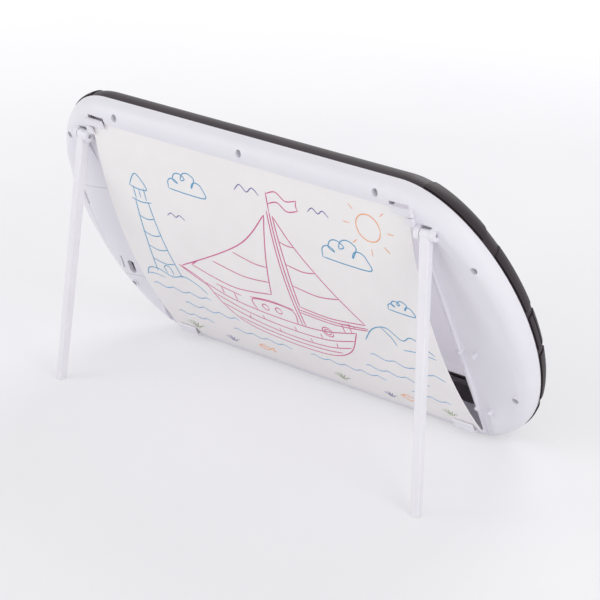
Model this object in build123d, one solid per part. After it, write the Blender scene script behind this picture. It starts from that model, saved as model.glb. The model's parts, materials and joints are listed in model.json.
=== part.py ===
"""Light-up drawing board that stands on two folding legs, with a picture card in its rear window.

Every piece is drawn in the board's own frame, which lies face up: X runs along the board as seen by
the person who draws, Y runs up the board and Z comes out of the drawing side. Z = 0 is the joint line
between the dark front frame and the white rear shell. The last step stands the whole board on its
lower edge and its legs, with the origin in the middle of the flat that it stands on, +Z up and the
drawing side towards -Y.
"""

from build123d import *
import math
import os

# Board outline: two straight long edges joined by half ellipses
board_length = 362.0
board_height = 200.5
end_reach = 64.0
front_depth = 13.5
rear_depth = 10.9
front_round = 12.9
rear_round = 10.4
wall = 2.4
standing_angle = 70.4
standing_flat_cut = 0.35
cut_margin = 1.0
bite = 0.5

# Rear window, through which the picture card is put in
window_length = 255.6
window_height = 176.9
window_bottom_margin = 10.95
window_corner_radius = 2.0
window_wall = 2.0
funnel_end_z = 4.6
funnel_side_draw_in = 2.1
funnel_bottom_rise = 0.8
funnel_top_drop = 1.9
notch_length = 13.9
notch_height = 4.5

# Front opening, in which the clear panel shows
opening_length = 238.0
opening_height = 150.5
opening_bottom_margin = 28.25
opening_corner_radius = 7.0
opening_bevel = 1.6

# Clear panel and the two lamp bars that hold its long edges
panel_side_reach = 9.0
panel_thickness = 3.0
panel_bite = 4.5
panel_bar_gap = 0.2
bar_end_reach = 0.5
bar_block_margin = 13.5
lower_bar_margin = 10.35
upper_bar_margin = 12.0
led_gap = 0.3
led_height = 1.2
led_width = 3.0
led_depth = 2.2
led_count = 12
led_pitch = 20.0
strip_thickness = 0.8
strip_depth = 2.6
strip_length = 238.0
seal_width = 2.5
seal_end_gap = 0.5

# Recess down each wing of the rear shell, into which a leg folds
recess_depth = 3.0
recess_centre_y = -40.0
recess_reach = 53.0
recess_rise = 128.0
recess_fall = 44.0
recess_side_slope = 26.0
recess_top_slope = 20.0
recess_bottom_slope = 18.0
recess_sections = 5
recess_overcut = 0.3

# Folding legs and their hinges
leg_window_gap = 9.2
leg_toe_in = 1.7
hinge_rise = 1.7
hinge_y = 75.3
hinge_floor_gap = 1.0
leg_head_width = 6.2
leg_foot_width = 5.0
leg_head_depth = 6.0
leg_foot_depth = 5.2
leg_edge_round = 0.7
leg_head_swell = 0.2
leg_groove_wall = 1.5
leg_groove_depth = 3.6
leg_groove_start = 9.0
leg_groove_end = 5.0
leg_open_angle = 31.8
leg_cant = 9.9
ear_thickness = 3.2
ear_radius = 3.7
ear_gap = 0.3
pin_radius = 1.2
pin_running_gap = 0.05
pin_seat_gap = 0.01
channel_side_gap = 0.8
channel_end_gap = 2.0
nub_radius = 1.6
nub_height = 4.0
nub_round = 1.0
nub_gap = 0.35
upper_nub_y = -22.4
lower_nub_y = -70.3

# Lips and tabs that hold the picture card
lip_window_inset = 12.6
lip_length = 15.1
lip_thickness = 1.0
lip_slot = 2.5
lip_drop = 1.2
lip_height = 6.7
lip_round = 0.6
tab_length = 5.0
tab_reach = 2.6
tab_thickness = 1.3
tab_slot = 1.6
tab_y = 81.5
card_side_gap = 1.5
card_thickness = 0.5
card_bulge = 11.7
card_edge_gap = 0.35
card_head_depth = 1.0
clip_thickness = 1.2
clip_slot = 0.3
clip_overlap = 3.0
clip_top_gap = 1.8
clip_end_gap = 1.2

# Screws that hold the rear shell on the front frame; in the wings, distance from the end and height
top_screw_x = 104.0
top_screw_margin = 6.2
left_screws = [(19.0, 53.4), (19.3, -50.6)]
right_screws = [(25.7, 68.0), (24.0, -62.0)]
screw_radius = 1.1
screw_head_radius = 2.1
screw_head_height = 1.6
screw_head_round = 0.6
screw_length = 9.0
screw_slot_width = 0.7
screw_slot_share = 0.7
screw_hole_gap = 0.05
screw_pass_gap = 0.3
screw_recess_gap = 0.2
boss_radius = 3.4
screw_seat_wall = 3.2

# Grips that stand a little proud on the corners of the front frame
grip_proud = 0.7
grip_sink = 1.2
grip_inner_x = 132.5
grip_inner_y = 68.0
grip_rim_start = 1.2
grip_gap = 0.25
grip_bed_gap = 0.02

# Caps on the ends of the front frame, between the grips, and the groove along the middle one
cap_spans = [(17.5, 57.0), (-12.5, 12.5), (-57.0, -17.5)]
cap_inner_x = 150.0
cap_front_z = 9.5
cap_groove_depth = 0.7
cap_groove_z = 5.6
cap_groove_width = 1.2

# Control board and its two push buttons, in the left wing
control_inset = 31.0
control_length = 28.0
control_height = 56.0
control_thickness = 1.6
control_front_z = 3.6
control_post_radius = 2.6
control_post_inset = 3.6
control_post_hole_end = 1.5
control_screw_length = 5.0
button_inset = 29.0
power_button_y = 13.0
power_button_radius = 8.0
mode_button_y = -13.0
mode_button_radius = 5.5
button_proud = 1.2
button_travel = 0.8
button_flange = 1.5
button_flange_thickness = 0.9
button_side_gap = 0.3
button_flange_gap = 0.3
button_round = 0.8
switch_side = 6.0
switch_height = 3.2
switch_tip_radius = 1.6
switch_tip_height = 0.5
switch_gap = 0.3
plunger_radius = 1.8
chip_length = 8.0
chip_width = 6.0
chip_thickness = 1.6
coil_side = 6.0
coil_height = 3.0
coil_y = 11.0
capacitor_radius = 2.5
capacitor_height = 4.0
capacitor_y = -11.0

# Battery compartment, in the right wing
battery_inset = 29.0
battery_y = -12.0
cell_radius = 7.25
cell_length = 49.2
cell_tip_radius = 2.75
cell_tip_height = 1.0
cell_gap = 0.2
cell_centre_z = 2.1
cell_edge_round = 0.6
cell_floor_gap = 0.1
contact_thickness = 0.4
contact_width = 9.0
contact_height = 10.0
spring_height = 4.2
spring_radius = 3.4
spring_tip_radius = 2.4
tray_wall = 1.4
tray_slack = 0.3
door_inset = 13.0
door_width = 25.0
door_bottom = -54.5
door_top = 24.0
door_gap = 0.3
door_tongue = 2.2
door_tongue_root = 3.0
door_tongue_inset = 1.0
door_tongue_width = 6.0
door_tongue_thickness = 1.2
door_slot_inset = 26.7
door_slot_y = -47.5
door_slot_width = 4.6
door_slot_length = 11.0
door_screw_y = -50.0
door_screw_length = 7.0
door_tray_gap = 0.5
lug_radius = 2.4
pry_slit_width = 1.1
pry_slit_turn = 4.0
upper_slit = (14.5, 12.0, 12.0)
lower_slit = (20.5, -44.0, 11.0)

# Wires inside the case
lead_radius = 0.9
lead_bend = 5.0
lead_side_inset = 44.0
lead_bottom_y = -91.5

# Worked out from the sizes above
half_length = board_length / 2
half_height = board_height / 2
straight_half = half_length - end_reach
panel_length = opening_length + 2 * panel_side_reach
bar_length = panel_length + 2 * bar_end_reach
card_length = window_length - 2 * card_side_gap
leg_x = window_length / 2 + leg_window_gap
lip_centre_x = window_length / 2 - lip_window_inset
lead_side_x = half_length - lead_side_inset
control_x = control_inset - half_length
button_x = button_inset - half_length
battery_x = half_length - battery_inset
door_right = half_length - door_inset
door_left = door_right - door_width
door_tongue_left = door_left + door_tongue_inset
door_slot_x = half_length - door_slot_inset
window_bottom = -half_height + window_bottom_margin
window_top = window_bottom + window_height
opening_bottom = -half_height + opening_bottom_margin
opening_top = opening_bottom + opening_height
front_inside_z = front_depth - wall
rear_face_z = -rear_depth
floor_z = rear_face_z + recess_depth
panel_back_z = front_inside_z - panel_thickness
panel_bottom = opening_bottom - panel_bite
panel_top = opening_top + panel_bite
hinge_z = rear_face_z - hinge_rise
leg_bed_z = hinge_z + leg_head_depth / 2 + hinge_floor_gap
lug_seat_z = floor_z + wall + bite
pin_length = leg_head_width + 2 * (ear_gap + ear_thickness)
tilt = math.radians(standing_angle)
round_centre_y = -half_height + rear_round
round_centre_z = rear_face_z + rear_round
standing_round = rear_round - standing_flat_cut
standing_y = round_centre_y - standing_round * math.sin(tilt)
standing_z = round_centre_z - standing_round * math.cos(tilt)
upright = Location(
    (
        0,
        -(standing_y * math.cos(tilt) - standing_z * math.sin(tilt)),
        -(standing_y * math.sin(tilt) + standing_z * math.cos(tilt)),
    ),
    (standing_angle, 0, 0),
)
sides = (-1, 1)


def cuboid(x_span, y_span, z_span):
    """Block between pairs of coordinates."""
    size = [abs(span[1] - span[0]) for span in (x_span, y_span, z_span)]
    centre = [(span[0] + span[1]) / 2 for span in (x_span, y_span, z_span)]
    return Pos(*centre) * Box(*size)


def rod(x, y, radius, z_from, z_to):
    """Round bar square to the board."""
    return Pos(x, y, (z_from + z_to) / 2) * Cylinder(radius, abs(z_to - z_from))


def outline(inset):
    """Face of the board's outline, drawn in by the inset."""
    across = end_reach - inset
    up = half_height - inset
    edges = [
        Line((-straight_half, -up), (straight_half, -up)),
        EllipticalCenterArc((straight_half, 0), across, up, start_angle=-90, arc_size=180),
        Line((straight_half, up), (-straight_half, up)),
        EllipticalCenterArc((-straight_half, 0), across, up, start_angle=90, arc_size=180),
    ]
    return make_face(edges)


def rounded_body(inset, depth, edge_round, towards):
    """Solid of the outline on one side of the joint line, with its far edge rounded."""
    body = extrude(outline(inset), amount=depth, dir=(0, 0, towards))
    far_edges = body.edges().group_by(Axis.Z)[-1 if towards > 0 else 0]
    return fillet(far_edges, edge_round)


def wing_recess(side, extra):
    """Hollow with a soft slope that runs down a wing; extra moves its surface outwards."""
    sections = []
    for step in range(recess_sections + 1):
        share = step / recess_sections
        sunk = recess_depth * (1 - math.cos(math.pi * share)) / 2 if step else -recess_overcut
        across = recess_reach - recess_side_slope * share + extra
        rise = recess_rise - recess_top_slope * share + extra
        fall = recess_fall - recess_bottom_slope * share + extra
        profile = make_face(
            [
                Line((0, rise), (0, -fall)),
                EllipticalCenterArc((0, 0), across, fall, start_angle=-90, arc_size=90),
                EllipticalCenterArc((0, 0), across, rise, start_angle=0, arc_size=90),
            ]
        )
        level = rear_face_z + sunk + extra
        sections.append(Pos(straight_half, recess_centre_y, level) * profile)
    hollow = loft(sections)
    return hollow if side > 0 else mirror(hollow, about=Plane.YZ)


def leg_channel(side, extra):
    """Straight bed for one folded leg, deep enough for the leg and its swinging head."""
    half = leg_head_width / 2 + channel_side_gap + extra
    top = leg_head_depth / 2 + channel_end_gap + extra
    bottom = -leg_length - channel_end_gap - extra
    bed = cuboid((-half, half), (bottom, top), (rear_face_z - cut_margin, leg_bed_z + extra))
    return folded_line(side) * bed


def folded_line(side):
    """Frame whose -Y runs along one folded leg, from its hinge, at the height of the joint line."""
    return Location((side * leg_x, hinge_y, 0), (0, 0, -side * leg_toe_in))


def hinge_place(side):
    """Middle of one leg's hinge, turned so that X runs along its pin."""
    return folded_line(side) * Location((0, 0, hinge_z), (0, -side * leg_cant, 0))


def window_funnel(grow):
    """Tapered hole from the rear window down to the panel, grown all round by a margin."""
    lip = Pos(0, (window_bottom + window_top) / 2, rear_face_z - cut_margin) * RectangleRounded(
        window_length + 2 * grow, window_height + 2 * grow, window_corner_radius + grow
    )
    end_bottom = window_bottom + funnel_bottom_rise - grow
    end_top = window_top - funnel_top_drop + grow
    end = Pos(0, (end_bottom + end_top) / 2, funnel_end_z) * RectangleRounded(
        window_length - 2 * funnel_side_draw_in + 2 * grow,
        end_top - end_bottom,
        window_corner_radius + grow,
    )
    return loft([lip, end])


def ground_half_space():
    """Everything below the table that the standing board rests on, in the board's own frame."""
    depth = board_height / 2
    return upright.inverse() * (Pos(0, 0, -depth / 2) * Box(2 * board_length, 4 * board_height, depth))


# Leg length that brings its foot to the table
hinge_centre = upright * hinge_place(1) * Location((0, 0, 0))
leg_direction = (
    upright * hinge_place(1) * Location((0, 0, 0), (leg_open_angle, 0, 0)) * Location((0, -1, 0))
).position - hinge_centre.position
leg_length = hinge_centre.position.Z / -leg_direction.Z


def screw_points():
    """Places of the case screws, as x and y on the board."""
    top_y = half_height - top_screw_margin
    top_row = [(-top_screw_x, top_y), (0, top_y), (top_screw_x, top_y)]
    left = [(inset - half_length, y) for inset, y in left_screws]
    right = [(half_length - inset, y) for inset, y in right_screws]
    return top_row + left + right


def hinge_ear(side, hand):
    """Round ear that carries one end of a hinge pin, on a foot that runs down into the shell."""
    middle = hand * (leg_head_width / 2 + ear_gap + ear_thickness / 2)
    foot_length = floor_z + wall / 2 - hinge_z
    ear = Pos(middle, 0, 0) * Rot(0, 90, 0) * Cylinder(ear_radius, ear_thickness)
    ear += Pos(middle, 0, foot_length / 2) * Box(ear_thickness, 2 * ear_radius, foot_length)
    return hinge_place(side) * ear


def leg_nub(side, hand, y):
    """Small rounded bump on one side of a folded leg, which narrows to its foot and lies canted."""
    down = hinge_y - y
    share = down / leg_length
    leg_width = leg_head_width + (leg_foot_width - leg_head_width) * share
    leg_depth = leg_head_depth + (leg_foot_depth - leg_head_depth) * share
    cant = math.radians(leg_cant)
    leg_half = (leg_width * math.cos(cant) + leg_depth * math.sin(cant)) / 2
    height = nub_height + wall / 2
    nub = Cylinder(nub_radius, height)
    nub = fillet(nub.edges().group_by(Axis.Z)[0], nub_round)
    offset = hand * (leg_half + nub_gap + nub_radius)
    return folded_line(side) * Pos(offset, -down, floor_z + wall / 2 - height / 2) * nub


def card_lip(side):
    """Upturned lip at the foot of the rear window, in which the card stands."""
    span = (side * lip_centre_x - lip_length / 2, side * lip_centre_x + lip_length / 2)
    outer_z = rear_face_z - lip_slot - lip_thickness
    shelf_top = window_bottom - lip_drop + lip_thickness
    shelf = cuboid(span, (shelf_top - lip_thickness, shelf_top), (outer_z, rear_face_z + wall))
    upstand = cuboid(
        span,
        (shelf_top - lip_thickness, shelf_top - lip_thickness + lip_height),
        (outer_z, outer_z + lip_thickness),
    )
    lip = shelf + upstand
    return fillet(lip.edges().filter_by(Axis.X).group_by(Axis.Z)[0], lip_round)


def card_tab(side):
    """Small bridge over the card's edge near a top corner of the rear window."""
    edge = window_length / 2
    outer_z = rear_face_z - tab_slot - tab_thickness
    y_span = (tab_y - tab_length / 2, tab_y + tab_length / 2)
    post = cuboid((edge, edge + window_wall), y_span, (outer_z, rear_face_z + wall))
    arm = cuboid((edge - tab_reach, edge + window_wall), y_span, (outer_z, outer_z + tab_thickness))
    tab = post + arm
    return tab if side > 0 else mirror(tab, about=Plane.YZ)


def corner_clip(side):
    """Thin plate over a top corner of the card, beside the slot through which it was moulded."""
    edge = window_length / 2
    outer_z = rear_face_z - clip_slot - clip_thickness
    y_span = (window_top - clip_overlap, window_top + notch_height - clip_top_gap)
    inner_end = edge - notch_length + clip_end_gap
    plate = cuboid((inner_end, edge + window_wall), y_span, (outer_z, outer_z + clip_thickness))
    post = cuboid((edge, edge + window_wall), y_span, (outer_z, rear_face_z + wall))
    clip = plate + post
    return clip if side > 0 else mirror(clip, about=Plane.YZ)


def door_prism(gap):
    """Block through the rear skin where the battery door is, grown all round by a gap."""
    return cuboid(
        (door_left - gap, door_right + gap),
        (door_bottom - gap, door_top + gap),
        (rear_face_z - cut_margin, 0),
    )


def rear_skin():
    """Bare rear shell without its bosses: the outer form less the space inside."""
    form = rounded_body(0, rear_depth, rear_round, -1)
    space = rounded_body(wall, rear_depth - wall, rear_round - wall, -1)
    for side in sides:
        form -= wing_recess(side, 0)
        form -= leg_channel(side, 0)
        space -= wing_recess(side, wall)
        space -= leg_channel(side, wall)
    return form - space


def rear_shell(skin):
    """White rear shell with window, hinge ears, card lips, nubs and screw bosses."""
    shell = skin - door_prism(door_gap)
    window_walls = window_funnel(window_wall) & cuboid(
        (-board_length, board_length), (-board_height, board_height), (rear_face_z, funnel_end_z)
    )
    for side in sides:
        window_walls -= leg_channel(side, 0)
    shell += window_walls
    outer_form = rounded_body(0, rear_depth, rear_round, -1)
    for x, y in screw_points():
        shell += rod(x, y, boss_radius, rear_face_z, 0) & outer_form
    shell -= window_funnel(0)
    notch_top = window_top + notch_height
    notch_z = (rear_face_z - cut_margin, funnel_end_z)
    for side in sides:
        edge = side * window_length / 2
        notch_span = sorted((edge, edge - side * notch_length))
        shell -= cuboid(notch_span, (window_top - cut_margin, notch_top), notch_z)
        for hand in sides:
            shell += hinge_ear(side, hand)
            shell += leg_nub(side, hand, upper_nub_y)
            shell += leg_nub(side, hand, lower_nub_y)
        shell += card_lip(side)
        shell += card_tab(side)
        shell += corner_clip(side)
        pin_hole = Rot(0, 90, 0) * Cylinder(pin_radius, pin_length)
        shell -= hinge_place(side) * pin_hole
    for x, y in screw_points():
        shell -= rod(x, y, screw_head_radius + screw_recess_gap, rear_face_z - cut_margin, -screw_seat_wall)
        shell -= rod(x, y, screw_radius + screw_pass_gap, rear_face_z - cut_margin, cut_margin)
    return shell - ground_half_space()


def battery_door(skin):
    """Door cut from the rear shell's own skin, with a tongue that hooks under the shell."""
    door = skin & door_prism(0)
    tongue_span = (door_tongue_left, door_tongue_left + door_tongue_width)
    tongue_z = floor_z + wall + door_gap
    tongue_end_z = tongue_z + door_tongue_thickness
    root_y = door_top - door_tongue_root
    door += cuboid(tongue_span, (root_y, door_top), (floor_z + wall / 2, tongue_end_z))
    door += cuboid(tongue_span, (root_y, door_top + door_tongue), (tongue_z, tongue_end_z))
    slot = SlotOverall(door_slot_length, door_slot_width, rotation=90)
    door -= extrude(Pos(door_slot_x, door_slot_y, rear_face_z - cut_margin) * slot, amount=rear_depth)
    for inset, y, length in (upper_slit, lower_slit):
        slit = SlotOverall(length, pry_slit_width, rotation=90 + pry_slit_turn)
        door -= extrude(Pos(half_length - inset, y, rear_face_z - cut_margin) * slit, amount=rear_depth)
    return door


def grip_region(side, end, grow):
    """Corner of the board that a grip covers."""
    x_span = sorted((side * (grip_inner_x - grow), side * board_length))
    y_span = sorted((end * (grip_inner_y - grow), end * board_height))
    return cuboid(x_span, y_span, (grip_rim_start - grow, 2 * front_depth))


def cap_region(side, span, grow):
    """Stretch of the board's end that a cap covers."""
    x_span = sorted((side * (cap_inner_x - grow), side * board_length))
    y_span = (span[0] - grow, span[1] + grow)
    return cuboid(x_span, y_span, (grip_rim_start - grow, cap_front_z + grow))


def trim_ring():
    """Layer round the front frame from which the grips and the caps are cut."""
    outer = rounded_body(-grip_proud, front_depth + grip_proud, front_round + grip_proud, 1)
    return outer - rounded_body(grip_sink, front_depth - grip_sink, front_round - grip_sink, 1)


def grips(side):
    """Upper and lower corner grip of one wing."""
    ring = trim_ring()
    return [ring & grip_region(side, end, 0) for end in (1, -1)]


def end_caps(side):
    """Three caps round the end of one wing, with a groove along the middle one."""
    ring = trim_ring()
    caps = [ring & cap_region(side, span, 0) for span in cap_spans]
    inset = cap_groove_depth - grip_proud
    core = rounded_body(inset, front_depth - inset, front_round - inset, 1)
    groove_z = (cap_groove_z - cap_groove_width / 2, cap_groove_z + cap_groove_width / 2)
    slab = cuboid((-board_length, board_length), cap_spans[1], groove_z)
    caps[1] = caps[1] - (slab - core)
    return caps


def front_frame():
    """Dark front frame with the drawing opening, screw posts, grip beds and button holes."""
    form = rounded_body(0, front_depth, front_round, 1)
    space = rounded_body(wall, front_depth - wall, front_round - wall, 1)
    frame = form - space
    for x, y in screw_points():
        frame += rod(x, y, boss_radius, 0, front_inside_z + bite) & form
    for x, y in control_posts():
        frame += rod(x, y, control_post_radius, control_front_z, front_inside_z + bite)
    opening_face = RectangleRounded(opening_length, opening_height, opening_corner_radius)
    opening_mid = (opening_bottom + opening_top) / 2
    frame -= extrude(Pos(0, opening_mid, front_inside_z - cut_margin) * opening_face, amount=2 * wall)
    bevel_face = RectangleRounded(
        opening_length + 2 * opening_bevel,
        opening_height + 2 * opening_bevel,
        opening_corner_radius + opening_bevel,
    )
    frame -= loft(
        [
            Pos(0, opening_mid, front_depth - opening_bevel) * opening_face,
            Pos(0, opening_mid, front_depth) * bevel_face,
        ]
    )
    bed_depth = grip_sink + grip_bed_gap
    bed = form - rounded_body(bed_depth, front_depth - bed_depth, front_round - grip_sink, 1)
    for side in sides:
        for end in sides:
            frame -= bed & grip_region(side, end, grip_gap)
        for span in cap_spans:
            frame -= bed & cap_region(side, span, grip_gap)
    frame_wall = (front_inside_z - cut_margin, front_depth + cut_margin)
    for y, radius in ((power_button_y, power_button_radius), (mode_button_y, mode_button_radius)):
        frame -= rod(button_x, y, radius + button_side_gap, *frame_wall)
    for x, y in screw_points():
        hole_end = screw_length - screw_seat_wall + cut_margin
        frame -= rod(x, y, screw_radius + screw_hole_gap, -cut_margin, hole_end)
    for x, y in control_posts():
        frame -= rod(x, y, screw_radius + screw_hole_gap, 0, front_inside_z - control_post_hole_end)
    return frame


def control_posts():
    """Places of the four posts that carry the control board."""
    across = control_length / 2 - control_post_inset
    up = control_height / 2 - control_post_inset
    return [(control_x + i * across, j * up) for i in sides for j in sides]


def push_button(y, radius):
    """Round button cap with a flange behind the front frame and a plunger on its switch."""
    flange_top = front_inside_z - button_flange_gap
    flange_bottom = flange_top - button_flange_thickness
    cap = rod(button_x, y, radius, flange_bottom, front_depth + button_proud)
    cap = fillet(cap.edges().group_by(Axis.Z)[-1], button_round)
    cap += rod(button_x, y, radius + button_flange, flange_bottom, flange_top)
    switch_top = control_front_z + switch_height + switch_tip_height
    return cap + rod(button_x, y, plunger_radius, switch_top + button_travel + switch_gap, flange_top)


def board_switches():
    """Tact switch under each button."""
    switches = []
    for y in (power_button_y, mode_button_y):
        half = switch_side / 2
        body_top = control_front_z + switch_height
        body = cuboid((button_x - half, button_x + half), (y - half, y + half), (control_front_z, body_top))
        switches.append(body + rod(button_x, y, switch_tip_radius, body_top, body_top + switch_tip_height))
    return switches


def board_parts():
    """Controller chip, inductor and capacitor on the rear side of the control board."""
    back = control_front_z - control_thickness
    chip = Pos(control_x, 0, back - chip_thickness / 2) * Box(chip_length, chip_width, chip_thickness)
    coil = Pos(control_x, coil_y, back - coil_height / 2) * Box(coil_side, coil_side, coil_height)
    capacitor = rod(control_x, capacitor_y, capacitor_radius, back - capacitor_height, back)
    return [chip, coil, capacitor]


def pan_screw(x, y, seat_z, length):
    """Pan-head screw whose head rests on the seat and whose shank runs towards the drawing side."""
    shank = rod(x, y, screw_radius, seat_z, seat_z + length)
    top = seat_z - screw_head_height
    head = rod(x, y, screw_head_radius, top, seat_z)
    head = fillet(head.edges().group_by(Axis.Z)[0], screw_head_round)
    z_span = (top, top + screw_head_height / 2)
    arm = screw_head_radius * screw_slot_share
    for x_half, y_half in ((arm, screw_slot_width / 2), (screw_slot_width / 2, arm)):
        head -= cuboid((x - x_half, x + x_half), (y - y_half, y + y_half), z_span)
    return shank + head


def lamp_bar(end):
    """Dark bar that grips one long edge of the panel; end is -1 for the lower and 1 for the upper."""
    if end < 0:
        outer, inner, panel_edge = -half_height + lower_bar_margin, opening_bottom, panel_bottom
    else:
        outer, inner, panel_edge = half_height - upper_bar_margin, opening_top, panel_top
    strip_back = panel_edge + end * (led_gap + led_height + strip_thickness)
    block_outer = end * (half_height - bar_block_margin)
    x_span = (-bar_length / 2, bar_length / 2)
    flange = cuboid(x_span, sorted((outer, inner)), (funnel_end_z, panel_back_z - panel_bar_gap))
    block = cuboid(x_span, sorted((block_outer, strip_back)), (funnel_end_z, front_inside_z))
    return flange + block


def led_strip(end):
    """Narrow circuit strip on a lamp bar, facing the edge of the panel."""
    panel_edge = panel_bottom if end < 0 else panel_top
    near = panel_edge + end * (led_gap + led_height)
    middle = (panel_back_z + front_inside_z) / 2
    return cuboid(
        (-strip_length / 2, strip_length / 2),
        sorted((near, near + end * strip_thickness)),
        (middle - strip_depth / 2, middle + strip_depth / 2),
    )


def led_row(end):
    """Row of lamps on a circuit strip."""
    panel_edge = panel_bottom if end < 0 else panel_top
    near = panel_edge + end * led_gap
    middle = (panel_back_z + front_inside_z) / 2
    lamps = []
    for index in range(led_count):
        x = (index - (led_count - 1) / 2) * led_pitch
        lamps.append(
            cuboid(
                (x - led_width / 2, x + led_width / 2),
                sorted((near, near + end * led_height)),
                (middle - led_depth / 2, middle + led_depth / 2),
            )
        )
    return lamps


def panel_seals():
    """Foam strip between each short side of the panel and the rear shell."""
    edge = panel_length / 2
    strips = []
    for side in sides:
        x_span = sorted((side * (edge - seal_width), side * edge))
        y_span = (opening_bottom + seal_end_gap, opening_top - seal_end_gap)
        strips.append(cuboid(x_span, y_span, (funnel_end_z, panel_back_z)))
    return strips


def folding_leg(side):
    """Tapered open-channel leg, in its opened position, cut level where its foot meets the table."""
    head = Plane.XZ * RectangleRounded(leg_head_width, leg_head_depth, leg_edge_round)
    foot = Plane.XZ * RectangleRounded(leg_foot_width, leg_foot_depth, leg_edge_round)
    foot_reach = leg_length + leg_foot_depth
    leg = loft([head, Pos(0, -foot_reach, 0) * foot])
    leg += Rot(0, 90, 0) * Cylinder(leg_head_depth / 2 + leg_head_swell, leg_head_width)
    groove_end = leg_length - leg_groove_end
    groove_width = leg_foot_width - 2 * leg_groove_wall
    leg -= cuboid(
        (-groove_width / 2, groove_width / 2),
        (-groove_end, -leg_groove_start),
        (leg_head_depth / 2 - leg_groove_depth, leg_head_depth),
    )
    leg -= Rot(0, 90, 0) * Cylinder(pin_radius + pin_running_gap, 2 * leg_head_width)
    opened = Location((0, 0, 0), (leg_open_angle, 0, 0))
    return (hinge_place(side) * opened * leg) - ground_half_space()


def hinge_pin(side):
    """Steel pin through the two ears and the head of one leg."""
    return hinge_place(side) * Rot(0, 90, 0) * Cylinder(pin_radius - pin_seat_gap, pin_length)


def template_card():
    """Picture card, bowed out of the rear window between the lips and the window's top edge."""
    foot_y = window_bottom - lip_drop + lip_thickness + card_edge_gap
    foot_z = rear_face_z - card_edge_gap - card_thickness
    head_y = window_top - card_edge_gap
    head_z = rear_face_z + card_head_depth
    middle = ((foot_y + head_y) / 2, rear_face_z - card_bulge)
    outer = ThreePointArc((foot_y, foot_z), middle, (head_y, head_z))
    inner_middle = (middle[0], middle[1] + card_thickness)
    inner = ThreePointArc((foot_y, foot_z + card_thickness), inner_middle, (head_y, head_z + card_thickness))
    profile = make_face([outer, Line(outer @ 1, inner @ 1), inner, Line(inner @ 0, outer @ 0)])
    return extrude(Plane.YZ * profile, amount=card_length / 2, both=True)


def battery_sizes():
    """Inner width and length of the battery compartment."""
    width = 4 * cell_radius + cell_gap + 2 * tray_slack
    length = cell_length + cell_tip_height + spring_height + 2 * contact_thickness
    return width, length


def battery_tray():
    """Open tray for two cells, with a lug for the door's screw."""
    width, length = battery_sizes()
    floor_inside = cell_centre_z + cell_radius + cell_floor_gap
    half_across, half_along = width / 2 + tray_wall, length / 2 + tray_wall
    tray = cuboid(
        (battery_x - half_across, battery_x + half_across),
        (battery_y - half_along, battery_y + half_along),
        (floor_z + wall, min(floor_inside + tray_wall, front_inside_z)),
    )
    tray -= cuboid(
        (battery_x - width / 2, battery_x + width / 2),
        (battery_y - length / 2, battery_y + length / 2),
        (floor_z + wall - cut_margin, floor_inside),
    )
    lug = rod(door_slot_x, door_screw_y, lug_radius, lug_seat_z, front_inside_z)
    lug += cuboid(
        (door_slot_x - tray_wall / 2, door_slot_x + tray_wall / 2),
        (door_screw_y, battery_y - length / 2 - tray_wall / 2),
        (lug_seat_z, front_inside_z),
    )
    tray += lug
    hole_span = (lug_seat_z - cut_margin, lug_seat_z + door_screw_length + cut_margin)
    tray -= rod(door_slot_x, door_screw_y, screw_radius + screw_hole_gap, *hole_span)
    wing_half = ((0, board_length), (-board_height, board_height))
    tray -= door_prism(door_tray_gap) & cuboid(*wing_half, (-board_height, lug_seat_z))
    front_space = rounded_body(wall + cell_floor_gap, front_depth - wall, front_round - wall, 1)
    rear_space = cuboid(*wing_half, (rear_face_z, 0))
    return tray & (front_space + rear_space)


def battery_cells():
    """Two round cells, laid head to tail."""
    width, length = battery_sizes()
    cells = []
    for hand in sides:
        barrel = Cylinder(cell_radius, cell_length)
        barrel = fillet(barrel.edges(), cell_edge_round)
        tip = Pos(0, 0, cell_length / 2 + cell_tip_height / 2) * Cylinder(cell_tip_radius, cell_tip_height)
        cell = Rot(-90 * hand, 0, 0) * (barrel + tip)
        spring_side = -hand * (length / 2 - contact_thickness - spring_height - cell_length / 2)
        x = battery_x + hand * (cell_radius + cell_gap / 2)
        cells.append(Pos(x, battery_y + spring_side, cell_centre_z) * cell)
    return cells


def battery_contacts():
    """Plated contact tab at each end of each cell."""
    length = battery_sizes()[1]
    tabs = []
    for hand in sides:
        x = battery_x + hand * (cell_radius + cell_gap / 2)
        for end in sides:
            edge = battery_y + end * length / 2
            tabs.append(
                cuboid(
                    (x - contact_width / 2, x + contact_width / 2),
                    sorted((edge, edge - end * contact_thickness)),
                    (cell_centre_z - contact_height / 2, cell_centre_z + contact_height / 2),
                )
            )
    return tabs


def battery_springs():
    """Tapered contact spring at the flat end of each cell, as its closed outer form."""
    length = battery_sizes()[1]
    springs = []
    for hand in sides:
        x = battery_x + hand * (cell_radius + cell_gap / 2)
        base = battery_y - hand * (length / 2 - contact_thickness)
        spring = Rot(-90 * hand, 0, 0) * Cone(spring_radius, spring_tip_radius, spring_height)
        springs.append(Pos(x, base + hand * spring_height / 2, cell_centre_z) * spring)
    return springs


def lead(points):
    """Round insulated wire along straight runs joined by bends."""
    path = FilletPolyline(*points, radius=lead_bend)
    return sweep(Plane(origin=path @ 0, z_dir=path % 0) * Circle(lead_radius), path=path)


def power_lead():
    """Lead from the battery tray, under the rear window, to the control board."""
    tray_end = battery_y - battery_sizes()[1] / 2 - tray_wall
    lead_z = control_front_z - control_thickness / 2
    return lead(
        [
            (lead_side_x, tray_end, lead_z),
            (lead_side_x, lead_bottom_y, lead_z),
            (-lead_side_x, lead_bottom_y, lead_z),
            (-lead_side_x, -control_height / 2, lead_z),
        ]
    )


def case_screws():
    """Screws in the recessed holes of the rear shell."""
    return [pan_screw(x, y, -screw_seat_wall, screw_length) for x, y in screw_points()]


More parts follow.
